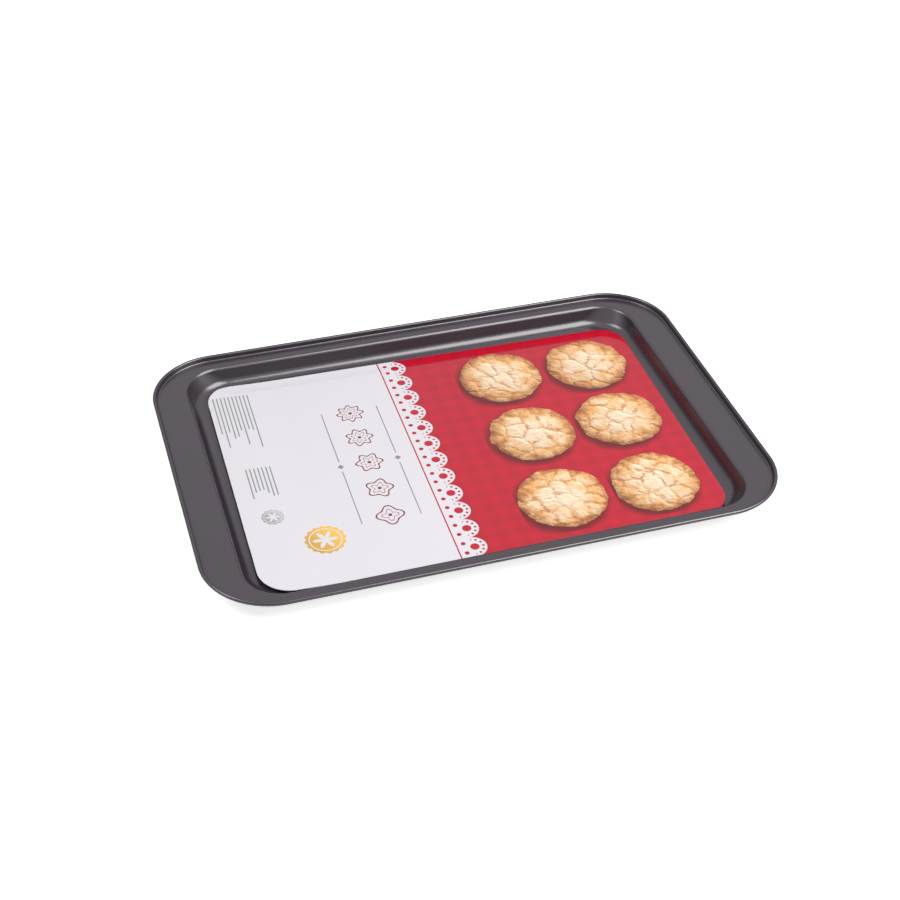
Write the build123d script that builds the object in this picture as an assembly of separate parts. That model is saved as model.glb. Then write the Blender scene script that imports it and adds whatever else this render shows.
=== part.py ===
from build123d import *
import os
from math import radians, tan

# A cookie sheet: one pressed steel sheet with a rolled rim, and the printed card that lies
# in its recess on four glue dots. X runs along the long side, Y across and Z up from the
# surface that the cookie sheet stands on. Lengths are in millimetres, angles in degrees.

# Overall size, over the rolled rim
pan_length = 370.0
pan_width = 255.0
pan_height = 16.0
sheet = 0.5  # thickness of the coated steel

# Rolled rim
rim_corner_radius = 45.0  # in plan, at the outermost edge
roll_radius = 1.28  # outside of the roll
roll_turn = 285.0  # how far the edge of the sheet is rolled round
rim_rise = 3.8  # top of the roll above the ledge
rim_bend = 1.2  # upper face, where the ledge turns up into the rim

# Ledge and recess
end_ledge = 21.9  # outermost edge to the bend, at both short ends
side_ledge = 10.0  # outermost edge to the bend, along both long sides
recess_corner_radius = 25.0  # in plan, where the bend starts
foot_corner_radius = 29.0  # in plan, where wall and floor would meet without the cove
ledge_bend = 3.1  # upper face, from the ledge down into the wall
wall_angle = 72.0  # wall against the floor, along the straight sides
cove_radius = 6.4  # upper face, from the wall into the floor
flat_strip = 1.0  # flat strip beside the rim bend, where the rim joins the ledge
base_depth = 5.0  # spare depth below the floor, while the sheet is cut out

# Printed card, which lies a little towards the front and slightly turned
card_end_gap = 2.1  # card to the end of the flat floor, at both short ends
card_side_gap = 1.0  # card to the side of the flat floor, along both long sides
card_thickness = 0.5
card_corner_radius = 20.0
card_shift_along = 0.6
card_shift_across = -1.6
card_turn = -0.9  # about Z

# Glue dots under the card
dot_radius = 5.0  # of the flat faces
dot_height = 1.0
dot_swell = 0.4  # how far the squeezed side stands out
dot_inset = 32.0  # card edge to the middle of a dot

# Worked out from the sizes above
half_sheet = sheet / 2
ledge_top = pan_height - rim_rise
ledge_level = ledge_top - half_sheet  # middle of the steel in the ledge
roll_level = pan_height - roll_radius
upright_place = half_sheet - 2 * roll_radius  # middle of the steel in the upright, from the outermost edge
ledge_inset = rim_bend + half_sheet + flat_strip - upright_place  # outermost edge to where the rim joins
fold_share = tan(radians(wall_angle) / 2)  # reach of a bend over its radius
wall_reach = (ledge_top - sheet) / tan(radians(wall_angle))
recess_reach = (ledge_bend + cove_radius) * fold_share + wall_reach  # start of the bend to the flat floor
recess_length = pan_length - 2 * end_ledge
recess_width = pan_width - 2 * side_ledge
floor_length = recess_length - 2 * recess_reach
floor_width = recess_width - 2 * recess_reach
card_length = floor_length - 2 * card_end_gap
card_width = floor_width - 2 * card_side_gap
card_level = sheet + dot_height


def fold_line(inset, corner_radius, level):
    """Where two faces of the recess would meet without the bend between them."""
    outline = RectangleRounded(recess_length - 2 * inset, recess_width - 2 * inset, corner_radius)
    return Pos(0, 0, level) * outline


def below(depth):
    """All that lies below the pressed surface, once that is sunk by depth, out to the rim."""
    bend = ledge_bend - depth
    cove = cove_radius + depth
    top = ledge_top - depth
    head_inset = bend * fold_share
    foot_inset = recess_reach - cove * fold_share
    head = fold_line(head_inset, recess_corner_radius - head_inset, top)
    foot = fold_line(foot_inset, foot_corner_radius + depth * fold_share, sheet - depth)
    recess = loft([foot, head], ruled=True)
    recess = fillet(recess.faces().sort_by(Axis.Z)[0].edges(), cove)
    outline = RectangleRounded(
        pan_length - 2 * ledge_inset, pan_width - 2 * ledge_inset, rim_corner_radius - ledge_inset
    )
    block = Pos(0, 0, -base_depth) * extrude(outline, base_depth + top) - recess
    ledge = block.faces().sort_by(Axis.Z)[-1]
    return fillet(ledge.inner_wires()[0].edges(), bend)


def make_rim():
    """Upright edge of the ledge and the hollow roll on top of it, carried round the sheet."""
    loop = RectangleRounded(pan_length, pan_width, rim_corner_radius).wire()
    along = loop % 0
    section_plane = Plane(origin=loop @ 0, x_dir=along.cross(Vector(0, 0, 1)), z_dir=-along)
    bend_middle_radius = rim_bend + half_sheet
    upright = FilletPolyline(
        (upright_place - bend_middle_radius - flat_strip, ledge_level),
        (upright_place, ledge_level),
        (upright_place, roll_level),
        radius=bend_middle_radius,
    )
    roll = CenterArc((-roll_radius, roll_level), roll_radius - half_sheet, 180, -roll_turn)
    section = section_plane * trace(upright + roll, line_width=sheet)
    return sweep(section.face(), path=loop)


def make_pan():
    """The whole pressed sheet, as one solid."""
    return below(0) - below(sheet) + make_rim()


def on_card(piece):
    """Moves a piece from the card's own place and direction to where the card lies."""
    return Pos(card_shift_along, card_shift_across, card_level) * Rot(0, 0, card_turn) * piece


def make_card():
    return on_card(extrude(RectangleRounded(card_length, card_width, card_corner_radius), card_thickness))


def make_dot(along, across):
    """A soft dot with flat faces and a side swollen by the card's weight."""
    outline = (
        Polyline((dot_radius, -dot_height), (0, -dot_height), (0, 0), (dot_radius, 0))
        + ThreePointArc((dot_radius, 0), (dot_radius + dot_swell, -dot_height / 2), (dot_radius, -dot_height))
    )
    dot = revolve(Plane.XZ * make_face(outline), Axis.Z)
    return on_card(Pos(along, across, 0) * dot)


def dots():
    """One glue dot near each corner of the card, with its name."""
    along = card_length / 2 - dot_inset
    across = card_width / 2 - dot_inset
    for end, end_sign in (("left", -1), ("right", 1)):
        for side, side_sign in (("front", -1), ("back", 1)):
            yield f"glue_dot_{side}_{end}", make_dot(end_sign * along, side_sign * across)


os.makedirs("parts", exist_ok=True)
pieces = {"pan": make_pan(), "label_card": make_card(), **dict(dots())}
for name, piece in pieces.items():
    export_step(piece, f"parts/{name}.step")
    print(name, len(piece.solids()), "solid,", round(piece.volume, 1), "mm3")
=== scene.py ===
from math import atan2, cos, pi, radians, sin, tan

import bmesh
import bpy
from bpy.props import FloatProperty, FloatVectorProperty, PointerProperty
from mathutils import Matrix, Vector


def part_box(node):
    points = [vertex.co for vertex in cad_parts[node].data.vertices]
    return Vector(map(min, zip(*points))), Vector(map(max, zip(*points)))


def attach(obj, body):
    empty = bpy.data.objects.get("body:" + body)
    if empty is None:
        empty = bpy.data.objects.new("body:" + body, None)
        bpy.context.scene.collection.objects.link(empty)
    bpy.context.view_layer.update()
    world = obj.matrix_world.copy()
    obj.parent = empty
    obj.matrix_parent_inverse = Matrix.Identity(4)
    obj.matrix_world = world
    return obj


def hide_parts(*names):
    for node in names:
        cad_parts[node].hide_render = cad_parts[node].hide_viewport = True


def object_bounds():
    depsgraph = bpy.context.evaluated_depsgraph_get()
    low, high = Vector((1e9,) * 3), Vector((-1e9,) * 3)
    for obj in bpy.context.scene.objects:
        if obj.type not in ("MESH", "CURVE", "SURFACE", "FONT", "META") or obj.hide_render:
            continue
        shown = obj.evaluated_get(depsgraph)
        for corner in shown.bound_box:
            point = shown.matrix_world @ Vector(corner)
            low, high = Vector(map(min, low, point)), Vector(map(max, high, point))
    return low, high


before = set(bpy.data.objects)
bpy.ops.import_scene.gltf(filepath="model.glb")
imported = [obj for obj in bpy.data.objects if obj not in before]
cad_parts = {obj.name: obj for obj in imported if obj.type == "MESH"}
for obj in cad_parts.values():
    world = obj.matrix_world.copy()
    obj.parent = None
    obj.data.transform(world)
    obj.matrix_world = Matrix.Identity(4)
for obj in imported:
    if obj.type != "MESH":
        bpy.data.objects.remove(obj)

bl_info = {
    "name": "Cookie sheet",
    "version": (1, 0, 0),
    "blender": (4, 5, 0),
    "location": "3D View > Sidebar > Cookie sheet",
    "description": "Models a pressed cookie sheet with its printed card, and a studio to show it in",
    "category": "Add Mesh",
}

cad_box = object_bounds()
cad_size = cad_box[1] - cad_box[0]
card_low, card_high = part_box("label_card")
card_middle = (card_low + card_high) / 2

TINY = 1e-6  # two places closer than this are the same
MM = 0.001
UP = Vector((0, 0, 1))
BEND_STEPS, COVE_STEPS, RIM_BEND_STEPS, ROLL_STEPS = 12, 14, 8, 36  # edges along each arc of a section


def length(name, description, default):
    """A size in metres that the sidebar shows."""
    return FloatProperty(name=name, description=description, default=default, unit="LENGTH", precision=5)


def angle(name, description, default):
    """An angle, given here in degrees."""
    return FloatProperty(name=name, description=description, default=radians(default), subtype="ANGLE")


def share(name, description, default):
    """A number from 0 to 1."""
    return FloatProperty(name=name, description=description, default=default, min=0, max=1, subtype="FACTOR")


def colour(name, description, default):
    """A plain linear colour."""
    return FloatVectorProperty(
        name=name, description=description, default=default, size=3, min=0, max=1, subtype="COLOR"
    )


def place(name, description, default):
    """A place in metres."""
    return FloatVectorProperty(
        name=name, description=description, default=default, subtype="XYZ", unit="LENGTH"
    )


def radiance(name, description, default):
    """How bright a softbox looks, where 1 is white."""
    return FloatProperty(name=name, description=description, default=default, min=0)


class SheetSizes(bpy.types.PropertyGroup):
    sheet_length: length("Length", "Over the rolled rim, along X", cad_size.x)
    sheet_width: length("Width", "Over the rolled rim, along Y", cad_size.y)
    sheet_height: length("Height", "From the table to the top of the roll", cad_size.z)
    steel: length("Steel", "Thickness of the coated steel", 0.0005)
    rim_corner: length("Rim corner", "Corner radius in plan, at the outermost edge", 0.045)
    roll_radius: length("Roll", "Outside radius of the rolled edge", 0.00128)
    roll_turn: angle("Roll turn", "How far the edge is rolled round", 285)
    rim_rise: length("Rim rise", "Top of the roll above the ledge", 0.0038)
    rim_bend: length("Rim bend", "Upper face, where the ledge turns up", 0.0012)
    end_ledge: length("End ledge", "Outermost edge to the bend at the short ends", 0.0219)
    side_ledge: length("Side ledge", "Outermost edge to the bend along the long sides", 0.0100)
    recess_corner: length("Recess corner", "Corner radius in plan, where the bend starts", 0.025)
    foot_corner: length("Foot corner", "Corner radius in plan, where wall and floor would meet", 0.029)
    ledge_bend: length("Ledge bend", "Upper face, from the ledge into the wall", 0.0031)
    wall_angle: angle("Wall", "Wall against the floor, along the straight sides", 72)
    cove: length("Cove", "Upper face, from the wall into the floor", 0.0064)
    flat_strip: length("Flat strip", "Flat strip beside a bend", 0.001)


class CoatLook(bpy.types.PropertyGroup):
    coat: colour("Coat", "Colour of the nonstick coat", (0.037, 0.027, 0.038))
    roughness: share("Roughness", "Roughness of the coat", 0.25)
    gloss: FloatProperty(name="Gloss", description="Index of refraction of the coat", default=1.8, min=1)
    peel: length("Peel", "Size of the coat's fine ripples", 0.0011)
    fleck: length("Fleck", "Size of the flecks in the coat", 0.00022)


class CardLook(bpy.types.PropertyGroup):
    card_length: length("Length", "Long side of the card", 0.30059)
    card_width: length("Width", "Short side of the card", 0.21159)
    board: length("Board", "Thickness of the card", card_high.z - card_low.z)
    corner: length("Corner", "Corner radius of the card", 0.02)
    turn: angle("Turn", "How far the card is turned in the recess", -0.9)
    droop: length("Droop", "How far the far edge sags", 0.00095)
    end_lift: length("End lift", "How far the left end stands up", 0.0016)
    bare_strip: length("Bare strip", "Width of the strip without gloss film along the far edge", 0.010)
    corner_lift: length("Corner lift", "How far the near left corner stands up beyond that", 0.0004)
    white: colour("White", "Unprinted board under its film", (0.70, 0.685, 0.725))
    red: colour("Red", "Red field", (0.50, 0.002, 0.021))
    wine: colour("Wine", "Dull red of the cutter shapes", (0.25, 0.03, 0.05))
    grey: colour("Grey", "Grey of the rules", (0.25, 0.24, 0.26))
    gold: colour("Gold", "Gold of the seal shapes", (0.72, 0.42, 0.07))
    crumb: colour("Crumb", "Pale top of a cookie", (0.84, 0.64, 0.45))
    gilt: colour("Gilt", "Golden stretches of a cookie", (0.76, 0.40, 0.15))
    crust: colour("Crust", "Browned edge of a cookie", (0.47, 0.15, 0.04))


class StudioLook(bpy.types.PropertyGroup):
    main_glow: radiance("Main glow", "Light of the large softbox's face", 4.6)
    main_place: place("Main place", "Middle of the large softbox, high on the right", (0.618, -0.449, 1.052))
    main_width: length("Main width", "Level side of the large softbox", 0.97)
    main_height: length("Main height", "Other side of the large softbox", 1.10)
    left_glow: radiance("Left glow", "Light of the left softbox's face", 5.0)
    left_place: place("Left place", "Middle of the left softbox", (-0.831, 0.087, 0.996))
    left_width: length("Left width", "Level side of the left softbox", 0.46)
    left_height: length("Left height", "Other side of the left softbox", 0.60)
    room_high: radiance("Room above", "What the coat mirrors of the room, high up", 0.73)
    room_low: radiance("Room below", "What the coat mirrors of the room, near the floor", 0.05)
    fill: FloatProperty(name="Fill", description="Even light from all round", default=0.18)
    floor_glow: FloatProperty(
        name="Floor glow", description="Light that the camera alone sees on the floor", default=0.75
    )
    lens: FloatProperty(name="Lens", description="Focal length on a 36 mm sensor, in mm", default=64.0)
    frame_shift: FloatProperty(
        name="Shift", description="Shift of the picture, in widths: half a pixel of 900", default=0.5 / 900
    )
    camera_place: place("Camera", "Place of the camera", (-0.25446, -0.78377, 0.65469))
    camera_turn: FloatVectorProperty(
        name="Camera turn",
        description="Rotation of the camera about X, Y and Z",
        default=(radians(51.436), radians(-0.723), radians(-17.134)),
        subtype="EULER",
    )


class Wire:
    """A value on its way through a material. A sum with it adds a Math node."""

    def __init__(self, finish, socket):
        self.finish = finish
        self.socket = socket

    def out(self, name):
        """Another output of the same node."""
        return Wire(self.finish, self.socket.node.outputs[name])

    def __add__(self, other):
        return self.finish.sum("ADD", self, other)

    def __radd__(self, other):
        return self.finish.sum("ADD", other, self)

    def __sub__(self, other):
        return self.finish.sum("SUBTRACT", self, other)

    def __rsub__(self, other):
        return self.finish.sum("SUBTRACT", other, self)

    def __mul__(self, other):
        return self.finish.sum("MULTIPLY", self, other)

    def __rmul__(self, other):
        return self.finish.sum("MULTIPLY", other, self)

    def __truediv__(self, other):
        return self.finish.sum("DIVIDE", self, other)

    def __mod__(self, other):
        return self.finish.sum("FLOORED_MODULO", self, other)

    def __abs__(self):
        return self.finish.sum("ABSOLUTE", self)

    def __lt__(self, other):
        return self.finish.sum("LESS_THAN", self, other)

    def __gt__(self, other):
        return self.finish.sum("GREATER_THAN", self, other)


class Finish:
    """A node tree that is filled by expressions."""

    def __init__(self, owner):
        self.owner = owner
        owner.use_nodes = True
        self.tree = owner.node_tree
        self.tree.nodes.clear()

    def node(self, kind, settings=None, sockets=None, output=0):
        """Adds a node, applies its settings, fills its sockets and gives one of its outputs."""
        made = self.tree.nodes.new(kind)
        for name, value in (settings or {}).items():
            setattr(made, name, value)
        for key, value in (sockets or {}).items():
            if isinstance(value, Wire):
                self.tree.links.new(value.socket, made.inputs[key])
            else:
                made.inputs[key].default_value = value
        return Wire(self, made.outputs[output]) if made.outputs else made

    def sum(self, operation, *values):
        return self.node("ShaderNodeMath", {"operation": operation}, dict(enumerate(values)))

    def step(self, value, low, high):
        """0 up to low, 1 from high on, and smooth in between."""
        return self.node(
            "ShaderNodeMapRange",
            {"interpolation_type": "SMOOTHSTEP"},
            {"Value": value, "From Min": low, "From Max": high},
        )

    def blend(self, mask, base, over):
        """Colour over on colour base, where mask is 1."""
        tones = [tone if isinstance(tone, Wire) else (*tone, 1.0) for tone in (base, over)]
        sockets = {0: mask, 6: tones[0], 7: tones[1]}
        return self.node("ShaderNodeMix", {"data_type": "RGBA"}, sockets, output=2)

    def dim(self, tone, factor):
        """Colour times a number."""
        grey = self.node("ShaderNodeCombineColor", None, {0: factor, 1: factor, 2: factor})
        tone = tone if isinstance(tone, Wire) else (*tone, 1.0)
        settings = {"data_type": "RGBA", "blend_type": "MULTIPLY"}
        return self.node("ShaderNodeMix", settings, {0: 1.0, 6: tone, 7: grey}, output=2)

    def noise(self, place, size, detail=2.0, roughness=0.5):
        """Even noise from 0 to 1 with blobs of that size."""
        return self.node(
            "ShaderNodeTexNoise",
            None,
            {"Vector": place, "Scale": 1 / size, "Detail": detail, "Roughness": roughness},
        )

    def bumps(self, height, strength, depth):
        """Normal of a surface with that relief, of a depth in metres."""
        return self.node("ShaderNodeBump", None, {"Height": height, "Strength": strength, "Distance": depth})

    def surface(self, **sockets):
        """Principled surface, joined to the output. Underscores stand for spaces."""
        named = {name.replace("_", " "): value for name, value in sockets.items()}
        body = self.node("ShaderNodeBsdfPrincipled", None, named)
        self.node("ShaderNodeOutputMaterial", None, {"Surface": body})
        return self.owner

    def here(self):
        """The place on the object, in metres of the row frame."""
        return self.node("ShaderNodeTexCoord", output="Object")


def new_finish(name):
    return Finish(bpy.data.materials.new(name))


def nonstick_coat(look):
    """Dark grey, half glossy coat with fine flecks, faint ripples and a little unevenness in its gloss."""
    cloud_size, smudge_size = 0.035, 0.022
    relief_depth = 0.00003
    finish = new_finish("nonstick_coat")
    here = finish.here()
    flecks = finish.node("ShaderNodeTexVoronoi", None, {"Vector": here, "Scale": 1 / look.fleck})
    fleck = finish.node("ShaderNodeSeparateColor", None, {0: flecks.out("Color")})
    cloud = finish.noise(here, cloud_size, 3.0)
    tone = finish.dim((*look.coat,), 0.90 + 0.12 * fleck + 0.08 * cloud)
    smudge = finish.noise(here, smudge_size, 4.0, 0.6)
    peel = finish.noise(here, look.peel, 1.0)
    grain = finish.noise(here, look.fleck * 1.5, 1.0)
    relief = finish.bumps(peel + 0.35 * grain, 0.25, relief_depth)
    return finish.surface(
        Base_Color=tone, Roughness=look.roughness + 0.05 * (smudge - 0.5), IOR=look.gloss, Normal=relief
    )


def clear_glue():
    """Milky, soft glue with faint cloudiness."""
    cloud_size = 0.002
    thick, thin = (0.70, 0.69, 0.64), (0.85, 0.84, 0.80)
    finish = new_finish("clear_glue")
    cloud = finish.noise(finish.here(), cloud_size)
    tone = finish.blend(cloud, thick, thin)
    return finish.surface(Base_Color=tone, Roughness=0.3 + 0.1 * cloud, Transmission_Weight=0.5, IOR=1.47)


def raw_board(name, tint):
    """Uncoated back and edge of the card, with a fine fibre."""
    fibre_size, relief_depth = 0.0004, 0.00004
    finish = new_finish(name)
    fibre = finish.noise(finish.here(), fibre_size, 3.0, 0.7)
    tone = finish.dim(tint, 0.86 + 0.16 * fibre)
    return finish.surface(Base_Color=tone, Roughness=0.85, Normal=finish.bumps(fibre, 0.3, relief_depth))


class CardPrint:
    """The printed side of the card, in millimetres from its middle: x along it and y across.

    A distance is below 0 inside a shape. A mask is 1 inside it and 0 outside."""

    ink_blur = 0.12  # half the width of a printed edge

    def __init__(self, look):
        self.look = look
        self.finish = new_finish("card_print")
        self.place = self.finish.node(
            "ShaderNodeMapping",
            {"vector_type": "TEXTURE"},
            {
                "Vector": self.finish.here(),
                "Location": (card_middle.x, card_middle.y, 0),
                "Rotation": (0, 0, look.turn),
                "Scale": (MM, MM, MM),
            },
        )
        self.x, self.y = self.split(self.place)

    def split(self, vector):
        """X and Y of a vector."""
        x = self.finish.node("ShaderNodeSeparateXYZ", None, {0: vector})
        return x, x.out("Y")

    def join(self, x, y):
        return self.finish.node("ShaderNodeCombineXYZ", None, {0: x, 1: y})

    def radius(self, x, y):
        return self.finish.sum("SQRT", x * x + y * y)

    def inside(self, distance):
        """1 where a distance in mm is below 0, with a crisp printed edge."""
        return self.finish.step(-1.0 * distance, -self.ink_blur, self.ink_blur)

    def both(self, first, second):
        return self.finish.sum("MINIMUM", first, second)

    def either(self, first, second):
        return self.finish.sum("MAXIMUM", first, second)

    def box(self, x, y, half_x, half_y):
        """Distance to a rectangle round a place."""
        return self.either(abs(x) - half_x, abs(y) - half_y)

    def lace_edge(self):
        """Red field with a scalloped white lace border: 1 where the card is red."""
        line, pitch = -19.0, 17.5  # foot of the scallops, and one scallop to the next
        half_pitch = pitch / 2
        eye_rise, eye_size = 1.2, 2.9
        ring, spacing, eyelet_size = 6.6, pi / 6, 0.85
        bead_fall, bead_size = 5.0, 1.5
        stripe_fall, half_stripe = 9.5, 0.45
        along = self.x - line
        across = (self.y % pitch) - half_pitch
        out = self.radius(along, across)
        lace = self.either(self.inside(out - half_pitch), self.inside(along))
        eye = self.inside(self.radius(along - eye_rise, across) - eye_size)
        turn = self.finish.sum("ARCTAN2", across, along)
        step = (turn + spacing / 2) % spacing - spacing / 2
        eyelet = self.inside(self.radius(out - ring, step * out) - eyelet_size)
        eyelet = self.both(eyelet, along > 0.2)
        beside = (self.y % half_pitch) - half_pitch / 2
        bead = self.inside(self.radius(along + bead_fall, beside) - bead_size)
        stripe = self.inside(abs(along + stripe_fall) - half_stripe)
        red = 1.0 - lace
        for hole in (eye, eyelet, bead, stripe):
            red = self.either(red, hole)
        return red

    def red_field(self):
        """Red cloth with faint woven checks."""
        pitch, shift, blur, weave_size = 13.0, 200.0, 0.2, 60.0
        stripes = []
        for place in (self.x, self.y):
            wave = abs(((place + shift) % pitch) - pitch / 2)
            stripes.append(self.finish.step(wave, pitch / 4 - blur, pitch / 4 + blur))
        weave = self.finish.noise(self.place, weave_size)
        return self.finish.dim((*self.look.red,), 0.84 + 0.08 * (stripes[0] + stripes[1]) + 0.06 * weave)

    def crust_height(self, place):
        """Height of a cookie's crackled top: low in the cracks, with crumbs on the plateaus."""
        bend, plateau, lump, crumb = 7.0, 12.5, 6.5, 2.2
        crack_slope = 0.22
        finish = self.finish
        drift = finish.noise(place, bend, 3.0).out("Color")
        bent = finish.node(
            "ShaderNodeVectorMath", {"operation": "MULTIPLY_ADD"}, {0: drift, 1: (bend, bend, 0), 2: place}
        )
        edge = finish.node(
            "ShaderNodeTexVoronoi",
            {"feature": "DISTANCE_TO_EDGE", "voronoi_dimensions": "2D"},
            {"Vector": bent, "Scale": 1 / plateau},
        )
        cracks = 0.22 * finish.step(edge, 0.0, crack_slope)
        lumps = 0.75 * finish.noise(place, lump, 4.0, 0.6)
        return cracks + lumps + 0.35 * finish.noise(place, crumb, 3.0, 0.6)

    def cookies(self, field):
        """Round crackled cookies in two rows of three, each with its own shade, size and turn."""
        pitch_x, pitch_y = 63.0, 66.0
        start_x, start_y = 19.0, -99.0
        stray, ragged, ragged_size = 4.0, 7.0, 13.0
        smallest, spread = 27.5, 1.5
        shade_x, shade_y = 2.5, 3.5
        light_x, light_y = 0.45, 0.55
        blotch_size = 9.0
        finish = self.finish
        column = finish.sum("FLOOR", (self.x - start_x) / pitch_x)
        row = finish.sum("FLOOR", (self.y - start_y) / pitch_y)
        spot = self.join(column, row)
        chance = finish.node("ShaderNodeTexWhiteNoise", {"noise_dimensions": "2D"}, {"Vector": spot})
        jitter_x = finish.node("ShaderNodeSeparateColor", None, {0: chance.out("Color")})
        jitter_y, luck = jitter_x.out("Green"), jitter_x.out("Blue")
        x = self.x - start_x - (column + 0.5) * pitch_x + stray * (jitter_x - 0.5)
        y = self.y - start_y - (row + 0.5) * pitch_y + stray * (jitter_y - 0.5)
        on_tray = self.both(self.both(column > -0.5, column < 1.5), self.both(row > -0.5, row < 2.5))
        wobble = finish.noise(self.place, ragged_size, 3.0) - 0.5
        size = smallest + spread * luck
        out = self.radius(x, y) / (size + ragged * wobble)
        shade = finish.step(self.radius(x + shade_x, y + shade_y) / size, 1.17, 0.90)
        field = finish.dim(field, 1.0 - 0.7 * self.both(shade, on_tray))
        height = self.crust_height(self.place)
        towards_light = finish.node(
            "ShaderNodeVectorMath", {"operation": "ADD"}, {0: self.place, 1: (light_x, light_y, 0.0)}
        )
        relief = height - self.crust_height(towards_light)
        blotch = finish.noise(self.place, blotch_size, 4.0, 0.65)
        golden = finish.step(1.1 * blotch + 0.6 * out - 0.25 * height, 0.48, 0.92)
        baked = finish.step(0.9 * blotch + 0.8 * out - 0.15 * height, 0.92, 1.26)
        tone = finish.blend(golden, (*self.look.crumb,), (*self.look.gilt,))
        tone = finish.blend(baked, tone, (*self.look.crust,))
        deep = finish.step(height, 0.66, 0.40)
        tone = finish.blend(0.75 * deep, tone, (*self.look.crust,))
        dome = (x * 0.55 + y * 0.65) / size
        light = 0.98 + 0.20 * dome - 0.30 * finish.step(out, 0.70, 1.02) + 2.4 * relief + 0.12 * (luck - 0.5)
        cookie = self.both(finish.step(out, 1.0, 0.985), on_tray)
        return finish.blend(cookie, field, finish.dim(tone, light))

    def cutter_row(self, tone):
        """Outlines of scalloped cookie cutters in a row, with more lobes from one to the next."""
        pitch, line, count, first_lobes = 27.0, -60.0, 5, 4.0
        size, lobe_rise, half_stroke = 7.6, 1.3, 0.55
        inset, half_inner_stroke, pip = 3.4, 0.3, 1.3
        finish = self.finish
        start = -pitch * count / 2
        number = finish.sum("FLOOR", (self.y - start) / pitch)
        x = self.x - line
        y = self.y - start - (number + 0.5) * pitch
        turn = finish.sum("ARCTAN2", y, x)
        lobes = finish.sum("COSINE", turn * (number + first_lobes))
        gap = self.radius(x, y) - size - lobe_rise * lobes
        inner = self.inside(abs(gap + inset) - half_inner_stroke)
        stroke = self.either(self.inside(abs(gap) - half_stroke), inner)
        stroke = self.either(stroke, self.inside(self.radius(x, y) - pip))
        shown = self.both(number > -0.5, number < count - 0.5)
        return finish.blend(self.both(stroke, shown), tone, (*self.look.wine,))

    def rules(self, tone):
        """Thin grey rules of several lengths, and a diamond between two of them."""
        long_lines, half_long, half_thick = (-41.0, -79.0), 58.0, 0.35
        half_break, diamond = 5.0, 2.2
        start, pitch, half_short = -122.0, 2.6, 0.42
        shortest_share = 0.62
        x, y = self.x, self.y
        marks = []
        for line in long_lines:
            bar = self.inside(self.box(x - line, y, half_thick, half_long))
            marks.append(self.both(bar, abs(y) > half_break))
            marks.append(self.inside(abs(x - line) + abs(y) - diamond))
        for middle, rows, half in ((62.0, 10, 30.0), (-6.0, 7, 18.0)):
            index = self.finish.sum("FLOOR", (start - x) / pitch)
            luck = self.finish.node(
                "ShaderNodeTexWhiteNoise", {"noise_dimensions": "1D"}, {"W": index + middle}, output="Value"
            )
            bar = self.inside(abs(((start - x) % pitch) - pitch / 2) - half_short)
            near_start = self.inside(y - middle - half)
            run = 2 * half * (shortest_share + (1 - shortest_share) * luck)
            near_end = self.inside(middle + half - run - y)
            shown = self.both(index > -0.5, index < rows - 0.5)
            marks.append(self.both(self.both(bar, shown), self.both(near_start, near_end)))
        ink = marks[0]
        for mark in marks[1:]:
            ink = self.either(ink, mark)
        return self.finish.blend(ink, tone, (*self.look.grey,))

    def seals(self, tone):
        """A gold and a silver disc with scalloped edges."""
        finish = self.finish
        silver = (0.42, 0.41, 0.43)
        petals, edge_share, ring_share, half_ring_share = 6, 0.045, 0.80, 0.03
        petal_share, petal_swell_share = 0.42, 0.22
        for place_x, place_y, size, lobes, ink in (
            (-104.0, -66.0, 12.5, 16, (*self.look.gold,)),
            (-131.0, -38.0, 7.0, 12, silver),
        ):
            x, y = self.x - place_x, self.y - place_y
            out = self.radius(x, y)
            turn = finish.sum("ARCTAN2", y, x)
            edge = out - size - edge_share * size * finish.sum("COSINE", turn * lobes)
            sheen = finish.dim(ink, 0.85 + 0.35 * finish.step(x + 0.6 * y, -size, size))
            tone = finish.blend(self.inside(edge), tone, sheen)
            ring = abs(out - size * ring_share) - size * half_ring_share
            swell = size * petal_swell_share * finish.sum("COSINE", turn * petals)
            for shape in (ring, out - size * petal_share - swell):
                tone = finish.blend(self.inside(shape), tone, (*self.look.white,))
        return tone

    def film(self):
        """Gloss film: 1 all over the card, apart from a strip along the far edge and round its corners."""
        bare_gloss, blur = 0.15, 1.6
        look = self.look
        corner = look.corner / MM
        x = abs(self.x) - look.card_length / MM / 2 + corner
        y = abs(self.y + look.bare_strip / MM / 2) - (look.card_width - look.bare_strip) / MM / 2 + corner
        out = self.radius(self.either(x, 0.0), self.either(y, 0.0)) - corner
        far = self.inside(-1.0 * self.y)
        edge = self.both(out, 4.0 * far - 2.0)
        return bare_gloss + (1 - bare_gloss) * self.finish.step(edge, blur, -blur)

    def material(self):
        ripple_size, relief_depth = 0.9, 0.00002
        finish = self.finish
        tone = (*self.look.white,)
        tone = self.rules(tone)
        tone = self.cutter_row(tone)
        tone = self.seals(tone)
        tone = finish.blend(self.lace_edge(), tone, self.cookies(self.red_field()))
        ripple = finish.noise(self.place, ripple_size)
        return finish.surface(
            Base_Color=tone,
            Roughness=0.5,
            Specular_IOR_Level=0.0,
            Coat_Weight=self.film(),
            Coat_IOR=1.6,
            Coat_Roughness=0.16,
            Normal=finish.bumps(ripple, 0.1, relief_depth),
        )


def deselect():
    if bpy.context.object and bpy.context.object.mode != "OBJECT":
        bpy.ops.object.mode_set(mode="OBJECT")
    bpy.ops.object.select_all(action="DESELECT")


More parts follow.
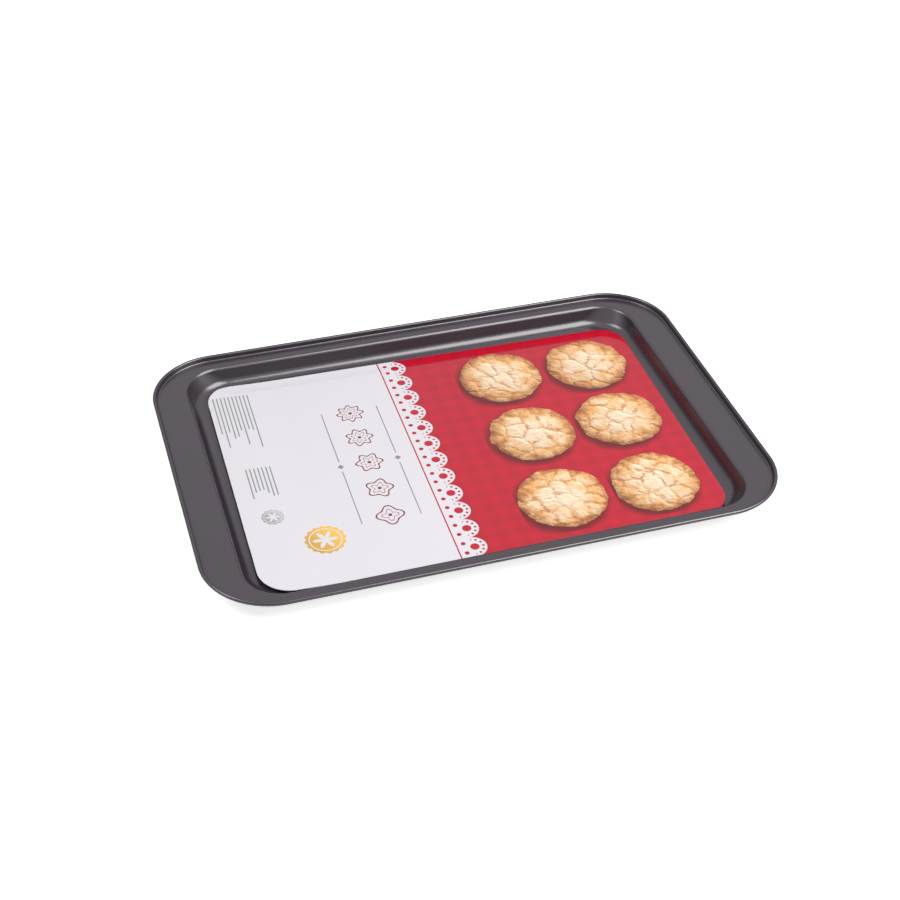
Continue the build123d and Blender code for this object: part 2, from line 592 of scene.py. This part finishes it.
def pick(kind, test):
    """Selects the verts, edges or faces in edit mode that pass the test, and nothing else."""
    bpy.ops.mesh.select_mode(type=kind)
    bpy.ops.mesh.select_all(action="DESELECT")
    shape = bmesh.from_edit_mesh(bpy.context.object.data)
    for part in {"VERT": shape.verts, "EDGE": shape.edges, "FACE": shape.faces}[kind]:
        if test(part):
            part.select_set(True)
    shape.select_flush(True)
    bmesh.update_edit_mesh(bpy.context.object.data)


def apply_modifier(kind, **settings):
    modifier = bpy.context.object.modifiers.new(kind.lower(), kind)
    for name, value in settings.items():
        setattr(modifier, name, value)
    bpy.ops.object.modifier_apply(modifier=modifier.name)


def extrude(x, y, z):
    bpy.ops.mesh.extrude_region_move(TRANSFORM_OT_translate={"value": (x, y, z)})


def plan_way(turn):
    """Level direction, turned from +Y towards +X."""
    return Vector((sin(turn), cos(turn), 0))


def quarter_stations(sheet_half, corner_radius):
    """Where sections stand round a quarter of the sheet: the centre and the direction outwards of each."""
    side_runs, corner_steps, end_runs = 16, 28, 12
    centre = Vector((sheet_half.x - corner_radius, sheet_half.y - corner_radius, 0))
    for run in range(side_runs):
        yield Vector((centre.x * run / side_runs, centre.y, 0)), 0.0
    for step in range(corner_steps):
        yield centre, pi / 2 * step / corner_steps
    for run in range(end_runs, -1, -1):
        yield Vector((centre.x, centre.y * run / end_runs, 0)), pi / 2


class SectionPen:
    """Draws the middle of the steel as a line of edges, in an upright plane.

    Its heading is an angle from outwards towards up."""

    def __init__(self, place, turn, heading):
        self.place = place.copy()
        self.out = plan_way(turn)
        self.heading = heading
        bpy.ops.mesh.primitive_plane_add(size=MM, location=place)
        bpy.ops.mesh.merge(type="CENTER")

    def line_to(self, place):
        extrude(*(place - self.place))
        self.place = place.copy()

    def line(self, run):
        self.line_to(self.place + run * (cos(self.heading) * self.out + sin(self.heading) * UP))

    def arc(self, radius, turn, steps):
        side = radius if turn > 0 else -radius
        centre = self.place + side * (cos(self.heading) * UP - sin(self.heading) * self.out)
        bpy.ops.mesh.spin(steps=steps, angle=turn, center=centre, axis=self.out.cross(UP) * -1)
        self.heading += turn
        self.place = centre - side * (cos(self.heading) * UP - sin(self.heading) * self.out)


def join_sections(name, draw, stations):
    """Draws a section at each station and joins them all to one surface."""
    deselect()
    bpy.ops.mesh.primitive_plane_add(size=MM)
    piece = bpy.context.object
    piece.name = name
    bpy.ops.object.mode_set(mode="EDIT")
    bpy.ops.mesh.delete(type="VERT")
    bpy.ops.mesh.select_mode(type="VERT")
    for station in stations:
        draw(*station)
    bpy.ops.mesh.select_all(action="SELECT")
    bpy.ops.mesh.bridge_edge_loops()
    bpy.ops.object.mode_set(mode="OBJECT")
    return piece


def press_recess(sizes, ledge_level):
    """Bend, wall, cove and the start of the floor, with a gentler wall round the corners."""
    half = sizes.steel / 2
    drop = sizes.sheet_height - sizes.rim_rise - sizes.steel
    straight_share = tan(sizes.wall_angle / 2)
    reach = (sizes.ledge_bend + sizes.cove) * straight_share + drop / tan(sizes.wall_angle)
    sheet_half = Vector((sizes.sheet_length, sizes.sheet_width)) / 2
    recess_half = sheet_half - Vector((sizes.end_ledge, sizes.side_ledge))
    head_radius = sizes.recess_corner - sizes.ledge_bend * straight_share
    foot_inset = reach - sizes.cove * straight_share
    foot_half = recess_half - Vector((foot_inset, foot_inset))
    start = sizes.recess_corner + sizes.flat_strip

    def draw(head, turn, foot):
        out = plan_way(turn)
        slope = atan2(drop, (head - foot).dot(out) + head_radius - sizes.foot_corner)
        bend_out = head_radius + sizes.ledge_bend * tan(slope / 2)
        cove_out = sizes.foot_corner - sizes.cove * tan(slope / 2)
        cove_radius = sizes.cove + half
        pen = SectionPen(head + start * out + ledge_level * UP, turn, pi)
        pen.line(start - bend_out)
        pen.arc(sizes.ledge_bend - half, slope, BEND_STEPS)
        cove_top = half + cove_radius * (1 - cos(slope))
        pen.line_to(foot + (cove_out + cove_radius * sin(slope)) * out + cove_top * UP)
        pen.arc(cove_radius, -slope, COVE_STEPS)
        pen.line(sizes.flat_strip)

    heads = quarter_stations(recess_half, sizes.recess_corner)
    feet = quarter_stations(foot_half, sizes.foot_corner)
    stations = [(head, turn, foot) for (head, turn), (foot, _) in zip(heads, feet)]
    return join_sections("steel_sheet", draw, stations)


def roll_rim(sizes, ledge_level):
    """Edge of the ledge, the upright and the hollow roll on top of it."""
    half = sizes.steel / 2
    roll_level = sizes.sheet_height - sizes.roll_radius
    upright = sizes.rim_corner - 2 * sizes.roll_radius + half
    bend = sizes.rim_bend + half
    start = upright - bend - sizes.flat_strip

    def draw(centre, turn):
        pen = SectionPen(centre + start * plan_way(turn) + ledge_level * UP, turn, 0)
        pen.line(sizes.flat_strip)
        pen.arc(bend, pi / 2, RIM_BEND_STEPS)
        pen.line(roll_level - ledge_level - bend)
        pen.arc(sizes.roll_radius - half, -sizes.roll_turn, ROLL_STEPS)

    sheet_half = Vector((sizes.sheet_length / 2, sizes.sheet_width / 2))
    return join_sections("rolled_rim", draw, quarter_stations(sheet_half, sizes.rim_corner))


def press_sheet(sizes):
    """The pressed sheet as one surface in the middle of the steel, then given its thickness."""
    crisp_from = radians(50)
    half = sizes.steel / 2
    ledge_level = sizes.sheet_height - sizes.rim_rise - half
    wall = press_recess(sizes, ledge_level)
    rim = roll_rim(sizes, ledge_level)
    deselect()
    rim.select_set(True)
    wall.select_set(True)
    bpy.context.view_layer.objects.active = wall
    bpy.ops.object.join()

    def open_at(level):
        """Test for the open edges at a level, apart from those where the halves meet."""

        def test(edge):
            ends = [vert.co for vert in edge.verts]
            level_with = all(abs(end.z - level) < TINY for end in ends)
            seam = any(all(abs(end[axis]) < TINY for end in ends) for axis in (0, 1))
            return edge.is_boundary and level_with and not seam

        return test

    bpy.ops.object.mode_set(mode="EDIT")
    pick("EDGE", open_at(ledge_level))
    bpy.ops.mesh.bridge_edge_loops()
    bpy.ops.object.mode_set(mode="OBJECT")
    apply_modifier("MIRROR", use_axis=(True, True, False), merge_threshold=TINY)
    bpy.ops.object.mode_set(mode="EDIT")
    pick("EDGE", open_at(half))
    bpy.ops.mesh.edge_face_add()
    bpy.ops.mesh.inset(thickness=sizes.flat_strip)
    bpy.ops.mesh.select_all(action="SELECT")
    bpy.ops.mesh.normals_make_consistent(inside=False)
    bpy.ops.object.mode_set(mode="OBJECT")
    apply_modifier("SOLIDIFY", thickness=sizes.steel, offset=0.0, use_even_offset=True)
    bpy.ops.object.mode_set(mode="EDIT")
    bpy.ops.mesh.select_all(action="SELECT")
    bpy.ops.mesh.normals_make_consistent(inside=False)
    bpy.ops.object.mode_set(mode="OBJECT")
    bpy.ops.object.shade_smooth_by_angle(angle=crisp_from)
    apply_modifier("WEIGHTED_NORMAL", keep_sharp=True)
    return bpy.context.object


def cut_card(look):
    """The card as a flat rounded board, cut across so that it can curl, then given its thickness."""
    corner_steps, cuts_along, cuts_across, far_cuts = 14, 59, 41, 11
    far_strip, crisp_from = 0.012, radians(40)
    deselect()
    bpy.ops.mesh.primitive_plane_add(size=1)
    card = bpy.context.object
    card.name = "printed_card"
    card.scale = (look.card_length, look.card_width, 1)
    bpy.ops.object.transform_apply(location=False, rotation=False, scale=True)
    bpy.ops.object.mode_set(mode="EDIT")
    bpy.ops.mesh.select_all(action="SELECT")
    bpy.ops.mesh.bevel(offset=look.corner, segments=corner_steps, affect="VERTICES")
    far_edge = look.card_width / 2
    for axis, start, end, cuts in (
        (0, -look.card_length / 2, look.card_length / 2, cuts_along),
        (1, -far_edge, far_edge, cuts_across),
        (1, far_edge - far_strip, far_edge, far_cuts),
    ):
        for cut in range(1, cuts + 1):
            place = Vector((0, 0, 0))
            place[axis] = start + (end - start) * cut / (cuts + 1)
            normal = Vector((0, 0, 0))
            normal[axis] = 1
            bpy.ops.mesh.select_all(action="SELECT")
            bpy.ops.mesh.bisect(plane_co=place, plane_no=normal)
    curl_card(look)
    bpy.ops.object.mode_set(mode="OBJECT")
    apply_modifier("SOLIDIFY", thickness=look.board, offset=-1.0, material_offset=1, material_offset_rim=2)
    bpy.ops.object.shade_smooth_by_angle(angle=crisp_from)
    card.location = (card_middle.x, card_middle.y, card_high.z)
    card.rotation_euler.z = look.turn
    bpy.ops.object.transform_apply(location=True, rotation=True, scale=False)
    return card


def nudge(rise, reach, falloff="SMOOTH"):
    """Moves what is picked up or down, and what lies within reach of it a little less."""
    bpy.ops.transform.translate(
        value=(0, 0, rise),
        use_proportional_edit=True,
        proportional_edit_falloff=falloff,
        proportional_size=reach,
    )


def curl_card(look):
    """Lets the far edge sag and lifts the left end and its near corner, with soft falloffs."""
    droop_reach, end_reach, corner_reach = 0.0105, 0.05, 0.04
    half_length, half_width = look.card_length / 2, look.card_width / 2
    pick("VERT", lambda vert: vert.co.y > half_width - TINY)
    nudge(-look.droop, droop_reach, "INVERSE_SQUARE")
    pick("VERT", lambda vert: vert.co.x < TINY - half_length)
    nudge(look.end_lift, end_reach)
    pick("VERT", lambda vert: vert.co.x < look.corner - half_length and vert.co.y < look.corner - half_width)
    nudge(look.corner_lift, corner_reach)


class COOKIE_OT_steel_sheet(bpy.types.Operator):
    """Press the steel sheet with its recess, ledges and rolled rim"""

    bl_idname = "cookie.steel_sheet"
    bl_label = "Steel sheet"

    def execute(self, context):
        sheet = press_sheet(context.scene.sheet_sizes)
        sheet.data.materials.append(nonstick_coat(context.scene.coat_look))
        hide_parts("pan")
        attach(sheet, "sheet")
        return {"FINISHED"}


class COOKIE_OT_printed_card(bpy.types.Operator):
    """Cut, curl and print the card that lies in the recess"""

    bl_idname = "cookie.printed_card"
    bl_label = "Printed card"

    def execute(self, context):
        look = context.scene.card_look
        card = cut_card(look)
        card.data.materials.clear()
        for material in (
            CardPrint(look).material(),
            raw_board("board_back", (0.62, 0.58, 0.52)),
            raw_board("board_edge", (0.80, 0.78, 0.76)),
        ):
            card.data.materials.append(material)
        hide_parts("label_card")
        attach(card, "label")
        return {"FINISHED"}


class COOKIE_OT_glue_dots(bpy.types.Operator):
    """Give the glue dots under the card their milky look"""

    bl_idname = "cookie.glue_dots"
    bl_label = "Glue dots"

    def execute(self, context):
        glue = clear_glue()
        for name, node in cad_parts.items():
            if name.startswith("glue_dot"):
                node.material_slots[0].material = glue
        return {"FINISHED"}


def make_floor(look):
    """A pale floor that is white to the camera and keeps the soft shadow."""
    floor_size, drop = 3, 0.0002
    pale = (0.86, 0.86, 0.86, 1)
    deselect()
    bpy.ops.mesh.primitive_plane_add(size=floor_size, location=(0, 0, -drop))
    floor = bpy.context.object
    floor.name = "floor"
    finish = new_finish("pale_floor")
    paint = finish.node("ShaderNodeBsdfDiffuse", None, {"Color": pale})
    seen = finish.node("ShaderNodeLightPath", output="Is Camera Ray")
    glow = finish.node("ShaderNodeEmission", None, {"Strength": look.floor_glow * seen})
    both = finish.node("ShaderNodeAddShader", None, {0: paint, 1: glow})
    finish.node("ShaderNodeOutputMaterial", None, {"Surface": both})
    floor.data.materials.append(finish.owner)


def make_world(look):
    """An even room, of which a mirror finds the upper part pale and the lower part dark."""
    pale_from = 0.55  # sine of the angle over the floor
    world = bpy.data.worlds.new("studio")
    bpy.context.scene.world = world
    finish = Finish(world)
    direction = finish.node("ShaderNodeTexCoord", output="Generated")
    rise = finish.node("ShaderNodeSeparateXYZ", None, {0: direction}, "Z")
    mirrored = look.room_low + (look.room_high - look.room_low) * finish.step(rise, 0.0, pale_from)
    glossy = finish.node("ShaderNodeLightPath", output="Is Glossy Ray")
    camera = glossy.out("Is Camera Ray")
    through = glossy.out("Is Transmission Ray")
    level = look.fill + (mirrored - look.fill) * glossy
    level = level + (1.0 - level) * finish.sum("MAXIMUM", camera, through)
    light = finish.node("ShaderNodeBackground", None, {"Color": (1, 1, 1, 1), "Strength": level})
    finish.node("ShaderNodeOutputWorld", None, {"Surface": light})


def make_softbox(name, middle, width, height, glow):
    """A rectangular softbox that faces the object, with its height as upright as that allows."""
    white_power = 4  # watts per square metre, at which an area lamp's face looks white
    deselect()
    bpy.ops.object.light_add(type="AREA", location=middle)
    lamp = bpy.context.object
    lamp.name = name
    back = Vector(middle).normalized()
    across = UP.cross(back).normalized()
    lamp.rotation_mode = "QUATERNION"
    lamp.rotation_quaternion = Matrix((across, back.cross(across), back)).transposed().to_quaternion()
    lamp.data.shape = "RECTANGLE"
    lamp.data.size = width
    lamp.data.size_y = height
    lamp.data.energy = white_power * width * height * glow


def make_lamps(look):
    """The large softbox on the right and a smaller one on the left."""
    make_softbox("softbox_main", look.main_place, look.main_width, look.main_height, look.main_glow)
    make_softbox("softbox_left", look.left_place, look.left_width, look.left_height, look.left_glow)


def make_camera(look):
    sensor_width, farthest = 36, 30
    deselect()
    bpy.ops.object.camera_add(location=look.camera_place, rotation=look.camera_turn)
    camera = bpy.context.object
    camera.data.sensor_width = sensor_width
    camera.data.lens = look.lens
    camera.data.shift_x = -look.frame_shift
    camera.data.shift_y = look.frame_shift
    camera.data.clip_end = farthest
    bpy.context.scene.camera = camera


class COOKIE_OT_studio(bpy.types.Operator):
    """Set up the pale floor, the backdrop, the softboxes and the camera"""

    bl_idname = "cookie.studio"
    bl_label = "Studio"

    def execute(self, context):
        look = context.scene.studio_look
        make_floor(look)
        make_world(look)
        make_lamps(look)
        make_camera(look)
        context.scene.view_settings.view_transform = "Standard"
        return {"FINISHED"}


class COOKIE_PT_panel(bpy.types.Panel):
    """Sizes, colours and steps of the cookie sheet"""

    bl_idname = "COOKIE_PT_panel"
    bl_label = "Cookie sheet"
    bl_space_type = "VIEW_3D"
    bl_region_type = "UI"
    bl_category = "Cookie sheet"

    def draw(self, context):
        for operator in OPERATORS:
            self.layout.operator(operator.bl_idname)
        for name in GROUPS:
            group = getattr(context.scene, name)
            box = self.layout.box()
            for field in group.bl_rna.properties:
                if field.identifier not in ("rna_type", "name"):
                    box.prop(group, field.identifier)


GROUPS = {"sheet_sizes": SheetSizes, "coat_look": CoatLook, "card_look": CardLook, "studio_look": StudioLook}
OPERATORS = (COOKIE_OT_steel_sheet, COOKIE_OT_printed_card, COOKIE_OT_glue_dots, COOKIE_OT_studio)


def register():
    for made in (*GROUPS.values(), *OPERATORS, COOKIE_PT_panel):
        bpy.utils.register_class(made)
    for name, group in GROUPS.items():
        setattr(bpy.types.Scene, name, PointerProperty(type=group))


def unregister():
    for name in GROUPS:
        delattr(bpy.types.Scene, name)
    for made in (COOKIE_PT_panel, *reversed(OPERATORS), *reversed(GROUPS.values())):
        bpy.utils.unregister_class(made)


def main():
    register()
    bpy.ops.cookie.steel_sheet()
    bpy.ops.cookie.printed_card()
    bpy.ops.cookie.glue_dots()
    bpy.ops.cookie.studio()


if __name__ == "__main__":
    main()
